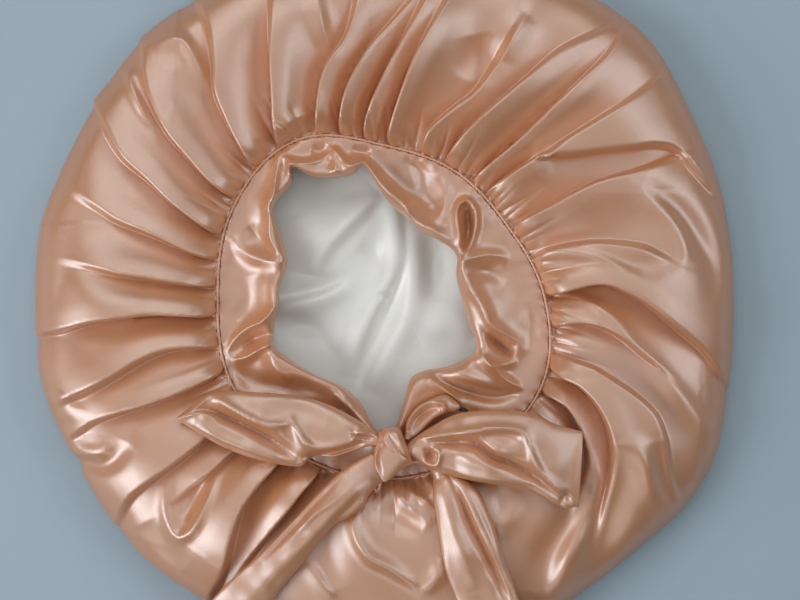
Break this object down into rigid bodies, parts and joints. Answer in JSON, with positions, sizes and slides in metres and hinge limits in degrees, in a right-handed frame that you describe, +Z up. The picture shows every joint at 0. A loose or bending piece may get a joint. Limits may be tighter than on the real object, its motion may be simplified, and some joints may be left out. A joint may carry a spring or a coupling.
{
  "type": "sleep bonnet",
  "caption": "Satin sleep bonnet laid crown down: round gathered bag with a lining, a wide band turned into its opening and a tie in a bow.",
  "frame": {"origin": "on the flat face that the crown rests on, under the middle of the bonnet", "axes": "+Z up out of the opening, +Y away from the bow, +X to the right as seen from above"},
  "size_m": [0.3648, 0.3968, 0.0485],
  "materials": {
    "peach_satin": "woven satin, soft sheen",
    "cream_satin": "woven satin lining, soft sheen",
    "dark_elastic": "knitted elastic, matte"
  },
  "bodies": {
    "root": {"crown": "peach_satin", "lining": "cream_satin", "seam_cord": "peach_satin", "band": "peach_satin", "bow_knot": "peach_satin", "bow_loop_left": "peach_satin", "bow_loop_right": "peach_satin", "tie_tail_left": "peach_satin", "tie_tail_right": "peach_satin", "band_tuck": "peach_satin", "elastic_end": "dark_elastic"}
  },
  "joints": []
}
